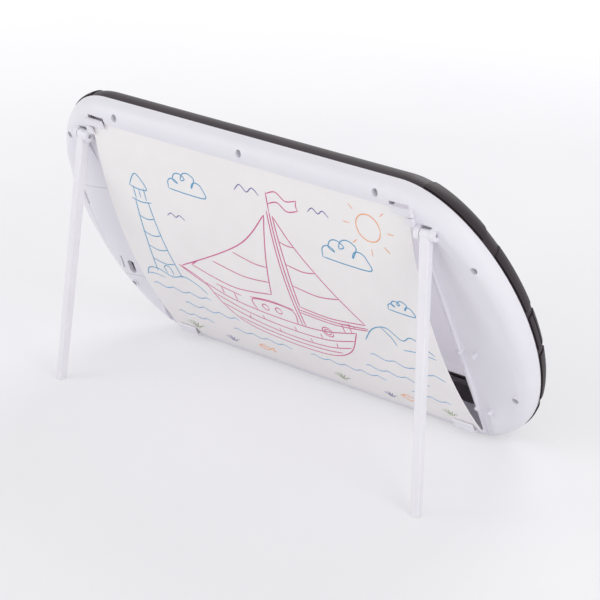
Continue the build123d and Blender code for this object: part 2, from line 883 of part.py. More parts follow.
def board_screws():
    """Screws that hold the control board on its posts."""
    back = control_front_z - control_thickness
    return [pan_screw(x, y, back, control_screw_length) for x, y in control_posts()]


def control_board():
    """Green circuit board in the left wing."""
    back = control_front_z - control_thickness
    middle_z = back + control_thickness / 2
    board = Pos(control_x, 0, middle_z) * Box(control_length, control_height, control_thickness)
    for x, y in control_posts():
        board -= rod(x, y, screw_radius + screw_hole_gap, back - cut_margin, control_front_z + cut_margin)
    return board


def write(name, shape):
    """Stand a piece up with the board and save it under its name."""
    solids = shape if isinstance(shape, list) else [shape]
    flat = [solid for item in solids for solid in item.solids()]
    export_step(Compound(children=[upright * solid for solid in flat]), f"parts/{name}.step")


os.makedirs("parts", exist_ok=True)
skin = rear_skin()
pieces = {
    "front_frame": front_frame(),
    "rear_shell": rear_shell(skin),
    "light_panel": cuboid(
        (-panel_length / 2, panel_length / 2), (panel_bottom, panel_top), (panel_back_z, front_inside_z)
    ),
    "panel_seals": panel_seals(),
    "lower_led_bar": lamp_bar(-1),
    "upper_led_bar": lamp_bar(1),
    "lower_led_strip": led_strip(-1),
    "upper_led_strip": led_strip(1),
    "lower_leds": led_row(-1),
    "upper_leds": led_row(1),
    "left_grips": grips(-1),
    "right_grips": grips(1),
    "left_end_caps": end_caps(-1),
    "right_end_caps": end_caps(1),
    "control_board": control_board(),
    "board_switches": board_switches(),
    "board_parts": board_parts(),
    "board_screws": board_screws(),
    "power_button": push_button(power_button_y, power_button_radius),
    "mode_button": push_button(mode_button_y, mode_button_radius),
    "battery_tray": battery_tray(),
    "battery_cells": battery_cells(),
    "battery_contacts": battery_contacts(),
    "battery_springs": battery_springs(),
    "battery_door": battery_door(skin),
    "battery_screw": pan_screw(door_slot_x, door_screw_y, lug_seat_z, door_screw_length),
    "case_screws": case_screws(),
    "left_leg": folding_leg(-1),
    "right_leg": folding_leg(1),
    "left_leg_pin": hinge_pin(-1),
    "right_leg_pin": hinge_pin(1),
    "template_card": template_card(),
    "power_lead": power_lead(),
}
for name, shape in pieces.items():
    write(name, shape)
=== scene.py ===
"""Light-up drawing board on its two folding legs, with a picture card in its rear window."""

import json
import math
import bmesh
import bpy
from mathutils import Matrix, Vector

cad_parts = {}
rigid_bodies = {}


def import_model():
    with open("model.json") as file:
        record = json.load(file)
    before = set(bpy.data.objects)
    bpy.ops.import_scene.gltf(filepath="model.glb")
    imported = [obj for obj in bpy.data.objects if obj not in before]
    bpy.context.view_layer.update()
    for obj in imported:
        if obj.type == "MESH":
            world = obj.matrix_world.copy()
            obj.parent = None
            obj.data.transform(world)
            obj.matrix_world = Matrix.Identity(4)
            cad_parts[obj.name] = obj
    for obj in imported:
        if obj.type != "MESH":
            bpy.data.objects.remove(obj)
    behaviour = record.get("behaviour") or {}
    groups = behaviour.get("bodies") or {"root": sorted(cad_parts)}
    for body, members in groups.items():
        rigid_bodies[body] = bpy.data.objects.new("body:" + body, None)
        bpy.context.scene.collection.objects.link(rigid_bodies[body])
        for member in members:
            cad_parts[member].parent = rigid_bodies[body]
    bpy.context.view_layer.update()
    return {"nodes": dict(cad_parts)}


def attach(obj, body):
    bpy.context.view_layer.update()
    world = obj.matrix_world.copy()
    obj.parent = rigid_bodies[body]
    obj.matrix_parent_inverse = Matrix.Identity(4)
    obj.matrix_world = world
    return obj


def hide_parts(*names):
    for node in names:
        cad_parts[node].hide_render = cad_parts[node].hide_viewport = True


for leftover in list(bpy.data.objects):
    bpy.data.objects.remove(leftover)
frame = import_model()


# Front frame. The dark shell that faces the person who draws is one ABS moulding.
# Its tool was etched, which leaves a fine satin grain, and the flow of the plastic
# leaves faint cloudy patches in the shade.
def shade(red, green, blue):
    """Colour of a swatch, 0 to 255 each, as light values."""
    parts = [value / 255 for value in (red, green, blue)]
    return [p / 12.92 if p <= 0.04045 else ((p + 0.055) / 1.055) ** 2.4 for p in parts] + [1.0]


def new_finish(name):
    """Material with its shader, and the position on the piece that its patterns follow."""
    material = bpy.data.materials.new(name)
    material.use_nodes = True
    shader = material.node_tree.nodes["Principled BSDF"]
    place = material.node_tree.nodes.new("ShaderNodeTexCoord")
    return material, shader, place.outputs["Object"]


def join(material, source, target):
    """Wire one node's output to another node's input."""
    material.node_tree.links.new(source, target)


def speckle(material, place, size, detail=2.0):
    """Random pattern whose patches are about as wide as the size in metres."""
    noise = material.node_tree.nodes.new("ShaderNodeTexNoise")
    noise.inputs["Scale"].default_value = 1 / size
    noise.inputs["Detail"].default_value = detail
    join(material, place, noise.inputs["Vector"])
    return noise.outputs["Fac"]


pattern_low = 0.3
pattern_high = 0.7


def graded(material, pattern, low, high):
    """Value that runs from low to high with the pattern."""
    span = material.node_tree.nodes.new("ShaderNodeMapRange")
    span.inputs["From Min"].default_value = pattern_low
    span.inputs["From Max"].default_value = pattern_high
    span.inputs["To Min"].default_value = low
    span.inputs["To Max"].default_value = high
    join(material, pattern, span.inputs["Value"])
    return span.outputs["Result"]


def tinted(material, pattern, first, second, start=pattern_low, end=pattern_high):
    """Colour that runs from the first to the second with the pattern."""
    ramp = material.node_tree.nodes.new("ShaderNodeValToRGB")
    stops = ramp.color_ramp.elements
    stops[0].position, stops[0].color = start, first
    stops[1].position, stops[1].color = end, second
    join(material, pattern, ramp.inputs["Fac"])
    return ramp.outputs["Color"]


def relief(material, shader, pattern, depth):
    """Bumps of the pattern's shape, as deep as the depth in metres."""
    bump = material.node_tree.nodes.new("ShaderNodeBump")
    bump.inputs["Distance"].default_value = depth
    join(material, pattern, bump.inputs["Height"])
    join(material, bump.outputs["Normal"], shader.inputs["Normal"])


def moulded_plastic(name, first, second, patch, smooth, rough, grain, depth, shine=0.5):
    """Opaque moulded plastic: cloudy shade, uneven gloss and the tool's grain."""
    material, shader, place = new_finish(name)
    clouds = speckle(material, place, patch, detail=3.0)
    fine = speckle(material, place, grain)
    join(material, tinted(material, clouds, first, second), shader.inputs["Base Color"])
    join(material, graded(material, fine, smooth, rough), shader.inputs["Roughness"])
    relief(material, shader, fine, depth)
    shader.inputs["IOR"].default_value = 1.53
    shader.inputs["Specular IOR Level"].default_value = shine
    return material


def dress(material, *nodes):
    """Give carried-over parts their material."""
    for node in nodes:
        for slot in frame["nodes"][node].material_slots:
            slot.material = material


charcoal = moulded_plastic(
    "charcoal_abs", shade(42, 33, 39), shade(48, 38, 45),
    patch=0.03, smooth=0.38, rough=0.48, grain=0.0006, depth=0.00003, shine=0.26,
)
dress(charcoal, "front_frame")


# Corner grips and end caps. They are separate mouldings of a slightly softer and
# blacker plastic, pressed into beds round the frame's edge with a hairline all round.
soft_black = moulded_plastic(
    "soft_black_grip", shade(40, 32, 37), shade(46, 37, 42),
    patch=0.02, smooth=0.42, rough=0.55, grain=0.0005, depth=0.00004, shine=0.26,
)
dress(soft_black, "left_grips", "right_grips", "left_end_caps", "right_end_caps")


# Lighted panel. It is a clear cast acrylic sheet, polished on both faces, that
# carries the light of the lamp strips from edge to edge.
acrylic, acrylic_shader, acrylic_place = new_finish("clear_acrylic")
wiped = speckle(acrylic, acrylic_place, size=0.02, detail=4.0)
join(acrylic, graded(acrylic, wiped, low=0.01, high=0.045), acrylic_shader.inputs["Roughness"])
# The grey tint is painted shade: it stands in for the dimmer view seen through the clear sheet.
acrylic_shader.inputs["Base Color"].default_value = shade(222, 218, 228)
acrylic_shader.inputs["Transmission Weight"].default_value = 1.0
acrylic_shader.inputs["IOR"].default_value = 1.49
relief(acrylic, acrylic_shader, wiped, depth=0.00001)
dress(acrylic, "light_panel")


# Foam strips. Two lengths of white closed-cell foam tape close the short sides of
# the panel against the rear shell.
pore_size = 0.0005
pore_edge = 0.5
foam, foam_shader, foam_place = new_finish("closed_cell_foam")
bubbles = foam.node_tree.nodes.new("ShaderNodeTexVoronoi")
bubbles.inputs["Scale"].default_value = 1 / pore_size
join(foam, foam_place, bubbles.inputs["Vector"])
pores = bubbles.outputs["Distance"]
foam_shade = tinted(foam, pores, shade(214, 212, 210), shade(238, 237, 235), start=0, end=pore_edge)
join(foam, foam_shade, foam_shader.inputs["Base Color"])
join(foam, graded(foam, pores, low=0.8, high=0.95), foam_shader.inputs["Roughness"])
relief(foam, foam_shader, pores, depth=0.0001)
dress(foam, "panel_seals")


# Lamp bars. Two black extruded bars clamp the long edges of the panel. The draw of
# the die leaves faint lines along them.
line_spacing = 0.0004
line_stretch = 100
bar_black, bar_shader, bar_place = new_finish("extruded_black")
stretch = bar_black.node_tree.nodes.new("ShaderNodeMapping")
stretch.inputs["Scale"].default_value = (1 / line_stretch, 1.0, 1.0)
join(bar_black, bar_place, stretch.inputs["Vector"])
draw_lines = speckle(bar_black, stretch.outputs["Vector"], line_spacing, detail=3.0)
bar_shade = tinted(bar_black, draw_lines, shade(60, 56, 60), shade(72, 67, 71))
join(bar_black, bar_shade, bar_shader.inputs["Base Color"])
join(bar_black, graded(bar_black, draw_lines, low=0.4, high=0.55), bar_shader.inputs["Roughness"])
relief(bar_black, bar_shader, draw_lines, depth=0.00002)
dress(bar_black, "lower_led_bar", "upper_led_bar")


# Lamp strips. Each is a narrow white circuit strip with twelve surface-mounted lamps
# of pale plastic under a yellow phosphor, soldered on in a row.
strip_white = moulded_plastic(
    "solder_mask_white", shade(226, 228, 226), shade(236, 237, 235),
    patch=0.004, smooth=0.3, rough=0.4, grain=0.0003, depth=0.00001,
)
dress(strip_white, "lower_led_strip", "upper_led_strip")
lamp_cover = moulded_plastic(
    "lamp_phosphor", shade(246, 232, 160), shade(250, 244, 214),
    patch=0.0015, smooth=0.25, rough=0.35, grain=0.0002, depth=0.00001,
)
dress(lamp_cover, "lower_leds", "upper_leds")


# Control board. The circuit board is glass-fibre sheet under green mask, through
# which the copper shows a little lighter; four screws hold it on the frame's posts.
track_pitch = 0.004
track_share = 0.06
board_green, green_shader, green_place = new_finish("circuit_green")
copper = board_green.node_tree.nodes.new("ShaderNodeTexBrick")
copper.inputs["Scale"].default_value = 1 / track_pitch
copper.inputs["Mortar Size"].default_value = track_share
copper.inputs["Color1"].default_value = shade(22, 92, 54)
copper.inputs["Color2"].default_value = shade(26, 100, 58)
copper.inputs["Mortar"].default_value = shade(52, 138, 84)
join(board_green, green_place, copper.inputs["Vector"])
join(board_green, copper.outputs["Color"], green_shader.inputs["Base Color"])
weave = speckle(board_green, green_place, size=0.0005)
join(board_green, graded(board_green, weave, low=0.25, high=0.4), green_shader.inputs["Roughness"])
relief(board_green, green_shader, copper.outputs["Fac"], depth=0.00003)
dress(board_green, "control_board")

part_black = moulded_plastic(
    "chip_black", shade(30, 30, 32), shade(38, 38, 40),
    patch=0.002, smooth=0.45, rough=0.6, grain=0.0002, depth=0.00002,
)
dress(part_black, "board_switches", "board_parts")


# Push buttons. Two white caps of polished plastic come through the frame, and their
# flanges stop them from behind.
button_white = moulded_plastic(
    "button_white", shade(232, 231, 234), shade(238, 237, 240),
    patch=0.008, smooth=0.22, rough=0.3, grain=0.0004, depth=0.00001,
)
dress(button_white, "power_button", "mode_button")


# Screws and hinge pins. They are turned or rolled steel wire with a thin bright zinc
# coat, whose crystals cloud the reflections.
crystal_depth = 0.000005


def coated_metal(name, first, second, patch, smooth, rough):
    """Plated metal: the plating's crystals vary its shade and gloss."""
    material, shader, place = new_finish(name)
    crystals = speckle(material, place, patch, detail=4.0)
    join(material, tinted(material, crystals, first, second), shader.inputs["Base Color"])
    join(material, graded(material, crystals, smooth, rough), shader.inputs["Roughness"])
    relief(material, shader, crystals, crystal_depth)
    shader.inputs["Metallic"].default_value = 1.0
    return material


zinc = coated_metal(
    "bright_zinc", shade(176, 176, 180), shade(208, 208, 212), patch=0.0006, smooth=0.22, rough=0.38
)
dress(zinc, "case_screws", "board_screws", "battery_screw", "left_leg_pin", "right_leg_pin")


# Rear shell. The white shell is one ABS moulding with a cool cast and a satin grain.
# Its leg recesses, hinge ears, nubs, card lips and clips and screw seats belong to it,
# and the battery door is a small moulding of the same plastic.
shell_white = moulded_plastic(
    "satin_white_abs", shade(234, 232, 240), shade(238, 236, 243),
    patch=0.05, smooth=0.42, rough=0.52, grain=0.0006, depth=0.00002,
)
dress(shell_white, "rear_shell", "battery_door")


# Battery compartment. The tray is a plain white inner moulding, and nickel-plated
# tabs and tapered wire springs stand at the ends of the two cells.
tray_white = moulded_plastic(
    "tray_white", shade(216, 215, 221), shade(224, 223, 229),
    patch=0.02, smooth=0.5, rough=0.6, grain=0.0008, depth=0.00003,
)
dress(tray_white, "battery_tray")
nickel = coated_metal(
    "nickel_plate", shade(190, 186, 178), shade(214, 210, 202), patch=0.0008, smooth=0.16, rough=0.3
)
dress(nickel, "battery_contacts")

standing_angle = math.radians(70.4)
standing_edge = (-0.099318, -0.003871)
battery_x = 0.152
battery_y = -0.012
cell_pitch = 0.0147
cell_level = 0.0021
tray_half = 0.0276
contact_thickness = 0.0004
spring_height = 0.0042
spring_wire = 0.00028
spring_foot = 0.0031
spring_tip = 0.0022
spring_turns = 4
spring_steps = 24
spring_sides = 8


def standing(x, y, z):
    """Point of the board's own frame, which lies face up, on the standing board."""
    up, out = y - standing_edge[0], z - standing_edge[1]
    return Vector(
        (
            x,
            up * math.cos(standing_angle) - out * math.sin(standing_angle),
            up * math.sin(standing_angle) + out * math.cos(standing_angle),
        )
    )


def new_piece(name, mesh, material, body):
    """Object of a finished mesh, dressed and set to move with its body."""
    bmesh.ops.recalc_face_normals(mesh, faces=mesh.faces)
    data = bpy.data.meshes.new(name)
    mesh.to_mesh(data)
    mesh.free()
    data.materials.append(material)
    piece = bpy.data.objects.new(name, data)
    bpy.context.collection.objects.link(piece)
    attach(piece, body)
    return piece


def closed_tube(mesh, rings):
    """Skin over rings of points, closed at both ends."""
    loops = [[mesh.verts.new(point) for point in ring] for ring in rings]
    count = len(loops[0])
    for near, far in zip(loops, loops[1:]):
        for i in range(count):
            mesh.faces.new((near[i], near[(i + 1) % count], far[(i + 1) % count], far[i]))
    mesh.faces.new(loops[0])
    mesh.faces.new(loops[-1])


spring_mesh = bmesh.new()
for hand in (-1, 1):
    spring_x = battery_x + hand * cell_pitch / 2
    spring_base = battery_y - hand * (tray_half - contact_thickness)
    rings = []
    for step in range(spring_turns * spring_steps + 1):
        share = step / (spring_turns * spring_steps)
        angle = 2 * math.pi * step / spring_steps
        reach = spring_foot + (spring_tip - spring_foot) * share
        along = spring_wire + (spring_height - 2 * spring_wire) * share
        ring = []
        for side in range(spring_sides):
            turn = 2 * math.pi * side / spring_sides
            radius = reach + spring_wire * math.cos(turn)
            y = spring_base + hand * (along + spring_wire * math.sin(turn))
            ring.append(
                standing(spring_x + radius * math.cos(angle), y, cell_level + radius * math.sin(angle))
            )
        rings.append(ring)
    closed_tube(spring_mesh, rings)
springs = new_piece("contact_springs", spring_mesh, nickel, "board")
springs.data.shade_smooth()
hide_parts("battery_springs")


# Cells. Two round cells lie head to tail. Each is a steel can in a shrunk jacket of
# printed film, plain slate with a pale band, and its bare ends and tip show nickel.
cell_radius = 0.00725
cell_length = 0.0492
tip_radius = 0.00275
tip_height = 0.001
jacket_turn = 0.0006
tip_shoulder = 0.8
end_rim = 0.0056
jacket_lip = 0.0002
end_sink = 0.0003
tip_round = 0.0003
band_start = 0.3
band_end = 0.42
sharp_edge = math.radians(35)
cell_segments = 48
jacket, jacket_shader, jacket_place = new_finish("cell_jacket")
film = speckle(jacket, jacket_place, size=0.004, detail=3.0)
jacket_shade = tinted(jacket, film, shade(56, 74, 92), shade(62, 82, 100))
join(jacket, jacket_shade, jacket_shader.inputs["Base Color"])
join(jacket, graded(jacket, film, low=0.22, high=0.34), jacket_shader.inputs["Roughness"])
relief(jacket, jacket_shader, film, depth=0.00002)
band = moulded_plastic(
    "jacket_band", shade(206, 208, 206), shade(214, 216, 214),
    patch=0.004, smooth=0.22, rough=0.34, grain=0.0008, depth=0.00001,
)

half_cell = cell_length / 2
cell_profile = [
    (0.0, -half_cell, nickel),
    (end_rim, -half_cell, nickel),
    (end_rim + jacket_lip, -half_cell, jacket),
    (cell_radius - jacket_turn, -half_cell, jacket),
    (cell_radius - jacket_turn / 3, -half_cell + jacket_turn / 3, jacket),
    (cell_radius, -half_cell + jacket_turn, jacket),
    (cell_radius, half_cell * band_start, band),
    (cell_radius, half_cell * band_end, jacket),
    (cell_radius, half_cell - jacket_turn, jacket),
    (cell_radius - jacket_turn / 3, half_cell - jacket_turn / 3, jacket),
    (cell_radius - jacket_turn, half_cell, jacket),
    (end_rim + jacket_lip, half_cell, nickel),
    (end_rim, half_cell - end_sink, nickel),
    (tip_radius + tip_round, half_cell - end_sink, nickel),
    (tip_radius, half_cell + tip_height * tip_shoulder, nickel),
    (tip_radius - tip_round, half_cell + tip_height, nickel),
    (0.0, half_cell + tip_height, nickel),
]
cell_finishes = [jacket, band, nickel]
for hand, name in ((-1, "cell_inner"), (1, "cell_outer")):
    cell_mesh = bmesh.new()
    cell_x = battery_x + hand * cell_pitch / 2
    shift = -hand * (tray_half - contact_thickness - spring_height - half_cell)
    loops = []
    for radius, along, _ in cell_profile:
        y = battery_y + shift + hand * along
        segments = 1 if radius == 0 else cell_segments
        loop = []
        for i in range(segments):
            t = 2 * math.pi * i / segments
            point = standing(cell_x + radius * math.cos(t), y, cell_level + radius * math.sin(t))
            loop.append(cell_mesh.verts.new(point))
        loops.append(loop)
    for near, far, (_, _, finish) in zip(loops, loops[1:], cell_profile):
        for i in range(cell_segments):
            j = (i + 1) % cell_segments
            corners = [near[i % len(near)], near[j % len(near)], far[j % len(far)], far[i % len(far)]]
            face = cell_mesh.faces.new(list(dict.fromkeys(corners)))
            face.material_index = cell_finishes.index(finish)
            face.smooth = True
    cell = new_piece(name, cell_mesh, jacket, "board")
    for finish in cell_finishes[1:]:
        cell.data.materials.append(finish)
    cell.data.set_sharp_from_angle(angle=sharp_edge)
    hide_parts("battery_cells")


# Power lead. A thin round wire in black vinyl runs from the tray under the window to
# the control board, inside the case.
vinyl = moulded_plastic(
    "wire_vinyl", shade(24, 24, 26), shade(32, 32, 34),
    patch=0.006, smooth=0.35, rough=0.5, grain=0.0005, depth=0.00001,
)
dress(vinyl, "power_lead")


# Legs. Each is a tapered open channel of the same white ABS, a little glossier than
# the shell because its tool was not etched, on a steel pin between two ears.
leg_white = moulded_plastic(
    "leg_white_abs", shade(236, 234, 241), shade(240, 238, 244),
    patch=0.03, smooth=0.3, rough=0.4, grain=0.0012, depth=0.00001,
)
dress(leg_white, "left_leg", "right_leg")


# Picture card. It is a sheet of coated white card, sprung into a bow between the two
# lips at its foot and the window's top edge. Its fibres show as a faint mottle.
card_white, card_shader, card_place = new_finish("coated_card")
fibres = speckle(card_white, card_place, size=0.0009, detail=5.0)
mottle = speckle(card_white, card_place, size=0.02, detail=3.0)
card_shade = tinted(card_white, mottle, shade(244, 241, 242), shade(247, 244, 245))
join(card_white, card_shade, card_shader.inputs["Base Color"])
join(card_white, graded(card_white, fibres, low=0.5, high=0.62), card_shader.inputs["Roughness"])
relief(card_white, card_shader, fibres, depth=0.000008)
dress(card_white, "template_card")


# The card's picture. It is printed in six coloured inks as thin pen-like lines: a
# sailing boat on a choppy sea, a lighthouse on its rocks, hills and clouds behind, and
# the sun, gulls, fish and sea grass. Its lines are drawn in millimetres on the card.
card_foot = (-0.08915, -0.01175)
card_middle = (-0.00095, -0.0226)
card_head = (0.08725, -0.0099)
ink_lift = 0.00006
ink_depth = 0.0001
mm_per_metre = 1000
line_width = 0.75
line_step = 1.6
taper_length = 3.0
taper_least = 0.45


def circle_through(a, b, c):
    """Centre and radius of the circle through three points."""
    d = 2 * (a[0] * (b[1] - c[1]) + b[0] * (c[1] - a[1]) + c[0] * (a[1] - b[1]))
    squares = [p[0] ** 2 + p[1] ** 2 for p in (a, b, c)]
    x = (squares[0] * (b[1] - c[1]) + squares[1] * (c[1] - a[1]) + squares[2] * (a[1] - b[1])) / d
    y = (squares[0] * (c[0] - b[0]) + squares[1] * (a[0] - c[0]) + squares[2] * (b[0] - a[0])) / d
    return (x, y), math.dist((x, y), a)


bow_centre, bow_radius = circle_through(card_foot, card_middle, card_head)
foot_angle = math.atan2(card_foot[1] - bow_centre[1], card_foot[0] - bow_centre[0])


def on_card(across, up, lift):
    """Point on the bowed card: millimetres across to the viewer's right and up from its foot."""
    angle = foot_angle + up / mm_per_metre / bow_radius
    reach = bow_radius + lift
    y = bow_centre[0] + reach * math.cos(angle)
    z = bow_centre[1] + reach * math.sin(angle)
    return standing(-across / mm_per_metre, y, z)


def eased(t, p, q, r, s):
    """Value at the share t of the smooth way from q to r, between p before them and s after."""
    bend = (2 * p - 5 * q + 4 * r - s) * t**2 + (3 * q - p - 3 * r + s) * t**3
    return 0.5 * (2 * q + (r - p) * t + bend)


def flowing(points):
    """Smooth run of closely spaced points through a few chosen ones."""
    if len(points) == 2:
        points = [points[0], tuple((a + b) / 2 for a, b in zip(*points)), points[1]]
    line = []
    ends = [points[0]] + list(points) + [points[-1]]
    for nearby in zip(ends, ends[1:], ends[2:], ends[3:]):
        count = max(2, round(math.dist(nearby[1], nearby[2]) / line_step))
        for step in range(count):
            line.append(tuple(eased(step / count, *values) for values in zip(*nearby)))
    return line + [tuple(points[-1])]


def draw_line(mesh, points, width=1.0):
    """Thin raised ribbon of ink along the points, tapered at its ends."""
    run = flowing(points)
    lengths = [0.0]
    for near, far in zip(run, run[1:]):
        lengths.append(lengths[-1] + math.dist(near, far))
    rings = []
    for i, (u, v) in enumerate(run):
        before, after = run[max(i - 1, 0)], run[min(i + 1, len(run) - 1)]
        along = Vector((after[0] - before[0], after[1] - before[1])).normalized()
        to_end = min(lengths[i], lengths[-1] - lengths[i])
        share = taper_least + (1 - taper_least) * min(1.0, to_end / taper_length)
        half = line_width * width * share / 2
        side = Vector((-along.y, along.x)) * half
        rings.append(
            [
                on_card(u + side.x, v + side.y, ink_lift),
                on_card(u - side.x, v - side.y, ink_lift),
                on_card(u - side.x, v - side.y, -ink_depth),
                on_card(u + side.x, v + side.y, -ink_depth),
            ]
        )
    closed_tube(mesh, rings)


def ring_line(u, v, across, up, start=0, end=360, count=12):
    """Points round all or part of an ellipse."""
    turns = [math.radians(start + (end - start) * i / count) for i in range(count + 1)]
    return [(u + across * math.cos(t), v + up * math.sin(t)) for t in turns]


points_per_wave = 4
trough_share = 0.7


def wave_line(start, end, v, height, pitch, lean=0.0):
    """Points along a row of small waves, with troughs a little flatter than the crests."""
    count = max(points_per_wave, round((end - start) / pitch * points_per_wave))
    line = []
    for i in range(count + 1):
        share = 1 if i % points_per_wave < points_per_wave / 2 else trough_share
        swell = height * math.sin(2 * math.pi / points_per_wave * i) * share
        line.append((start + (end - start) * i / count, v + lean * i / count + swell))
    return line


def cloud_line(u, v, size):
    """Outline of a cloud, as one run of bumps over a flat foot."""
    bumps = [(-1.0, 0.0, 0.42), (-0.45, 0.38, 0.5), (0.25, 0.5, 0.55), (0.85, 0.16, 0.42)]
    left_foot = (u - 1.45 * size, v - 0.3 * size)
    right_foot = (u + 1.4 * size, v - 0.28 * size)
    line = [left_foot]
    for across, up, radius in bumps:
        line += ring_line(u + across * size, v + up * size, radius * size, radius * size, 185, 25, 6)
    return line + [right_foot, (u, v - 0.36 * size), left_foot]


def grass_lines(u, v, height):
    """Tuft of sea grass blades."""
    blades = []
    for lean, share in ((-0.8, 0.6), (-0.4, 0.9), (0.0, 1.0), (0.45, 0.85), (0.85, 0.55)):
        tip = (u + lean * height, v + share * height)
        blades.append([(u + lean * 2, v), (u + lean * height * 0.45, v + share * height * 0.6), tip])
    return blades


def fish_lines(u, v, size):
    """Small fish: one curve for its body and tail, an eye and a fin."""
    body = [
        (u - size, v), (u - size * 0.3, v + size * 0.42), (u + size * 0.5, v + size * 0.12),
        (u + size, v + size * 0.4), (u + size * 0.86, v - 0.02), (u + size, v - size * 0.36),
        (u + size * 0.5, v - size * 0.1), (u - size * 0.3, v - size * 0.4), (u - size, v),
    ]
    eye = ring_line(u - size * 0.6, v + size * 0.08, 0.6, 0.6, count=6)
    fin = [(u - size * 0.2, v + size * 0.2), (u - size * 0.32, v), (u - size * 0.18, v - size * 0.2)]
    return [body, eye, fin]


boat = [
    [(-64, 70), (-44, 62), (-10, 58), (28, 59.5), (60, 69)],
    [(-64, 70), (-55, 51), (-40, 38), (-8, 33), (26, 35), (47, 47), (60, 69)],
    [(-60, 62), (-34, 53), (0, 49.5), (30, 51.5), (55, 60)],
    [(-56, 54), (-30, 45.5), (0, 42), (28, 44), (49, 51)],
    [(-47, 44), (-26, 39.5), (0, 37.5), (24, 39), (38, 42)],
    [(-64, 70), (-74, 76), (-83, 80)], [(-62, 67), (-74, 74), (-83, 80)],
    [(-24, 59.5), (-23, 70), (8, 71), (9, 58.5)], [(-26, 70.5), (-8, 73), (11, 71.5)],
    ring_line(-15, 65, 2.6, 2.6), ring_line(-4, 65.5, 2.6, 2.6),
    [(13, 59), (13.5, 105), (14, 150)], [(15.5, 59), (16, 105), (16, 150)],
    [(16, 74), (44, 73), (72, 77)], [(16, 71.5), (44, 70.6), (72, 75.5)],
    [(18, 147), (30, 128), (50, 103), (71, 80)], [(18, 147), (19, 112), (18, 77)],
    [(18, 77), (42, 75.5), (71, 80)],
    [(19, 129), (24, 127.5), (30, 127.6)], [(19, 112), (32, 110), (42, 112)],
    [(19, 95), (38, 92.6), (56, 96)],
    [(11, 146), (-18, 116), (-80, 80)], [(11, 146), (3, 112), (-4, 80)],
    [(-4, 80), (-38, 75), (-70, 84)], [(-26, 108), (-10, 104), (1, 104)],
    [(-48, 94), (-24, 89), (-1.5, 91)], [(-70, 84), (-62, 90)],
    [(16, 150), (16, 163)], [(16, 162), (24, 165), (31, 160.5), (40, 163)],
    [(16, 155), (24, 158), (31, 153.5), (40, 156)], [(40, 163), (39, 159.5), (40, 156)],
    ring_line(34, 60.5, 4.2, 4.2), ring_line(34, 60.5, 2.4, 2.4),
    [(50, 66), (50, 74)], [(56, 68), (56, 75.5)], [(49, 73), (57, 75), (61, 74)],
    [(-50, 65), (-50, 72)], [(-40, 62), (-40, 69)], [(-54, 72.5), (-45, 70.5), (-34, 68.5)],
    [(-36, 46), (-35, 50.5)], [(-12, 42.5), (-12, 46.5)], [(14, 43), (14, 47)], [(36, 46.5), (37, 51)],
    [(-22, 50.8), (-22, 55)], [(4, 50), (4, 54.5)], [(26, 51.6), (26, 56)],
]
sea = [
    wave_line(-120, -68, 50, 1.6, 15, 1), wave_line(64, 121, 52, 1.6, 15, -2),
    wave_line(-98, -50, 38, 1.6, 14), wave_line(54, 104, 37, 1.5, 14),
    wave_line(-62, -12, 25, 1.5, 13), wave_line(4, 66, 26, 1.5, 13, 1),
    wave_line(-112, -80, 24, 1.3, 12), wave_line(84, 114, 23, 1.3, 12),
    [(-120, 60), (-112, 61.5), (-104, 60.5)], [(96, 68), (108, 70), (121, 69)],
]
shore = [
    [(-108, 66), (-104.5, 96), (-102, 128)], [(-86, 66), (-89, 96), (-91, 128)],
    [(-107, 78), (-97, 75.5), (-87, 78)], [(-106, 90), (-97, 87.5), (-88, 90)],
    [(-105, 102), (-97, 99.5), (-89, 102)], [(-103.6, 115), (-97, 113), (-90, 115)],
    [(-105, 128), (-96.5, 126.5), (-88, 128)], [(-101, 128.5), (-101, 138)], [(-92, 128.5), (-92, 138)],
    [(-104, 138), (-96.5, 148), (-89, 138), (-96.5, 136.5), (-104, 138)], [(-96.5, 130), (-96.5, 136)],
    [(-121, 58), (-116, 66), (-107, 68), (-96, 64), (-84, 68), (-74, 64), (-68, 57)],
    [(-99, 66), (-99.5, 72), (-96.5, 74), (-93.5, 72), (-94, 66)],
    cloud_line(-52, 148, 11), cloud_line(72, 132, 13), cloud_line(106, 104, 7),
    [(66, 66), (76, 79), (88, 84), (98, 77), (107, 82), (121, 72)], [(84, 83), (90, 76), (92, 70)],
]
warm = [
    ring_line(94, 159, 9, 9), *fish_lines(78, 12, 8), *fish_lines(-40, 13, 7),
    [(80, 159), (75, 159)], [(84, 149), (80, 145.5)], [(94, 145), (94, 140)], [(104, 149), (108, 145.5)],
    [(108, 159), (113, 159)], [(84, 169), (81, 172)], [(104, 169), (107, 172)],
]
weeds = [*grass_lines(-104, 7, 9), *grass_lines(22, 6, 8), *grass_lines(108, 8, 7)]
gulls = [
    [(-10, 158), (-5, 163), (0, 159), (5, 163), (10, 159)],
    [(48, 158), (52, 161.5), (56, 158.5), (60, 161.5), (64, 158)],
    [(-76, 122), (-72, 125), (-68.5, 122.5), (-65, 125), (-61, 122)],
    *grass_lines(-72, 6, 7), *grass_lines(60, 5, 6),
]


def ink(name, first, second):
    """Printing ink: a dense colour that the card's fibres break up a little."""
    material, shader, place = new_finish(name)
    broken = speckle(material, place, size=0.0008, detail=4.0)
    join(material, tinted(material, broken, first, second), shader.inputs["Base Color"])
    join(material, graded(material, broken, low=0.4, high=0.55), shader.inputs["Roughness"])
    return material


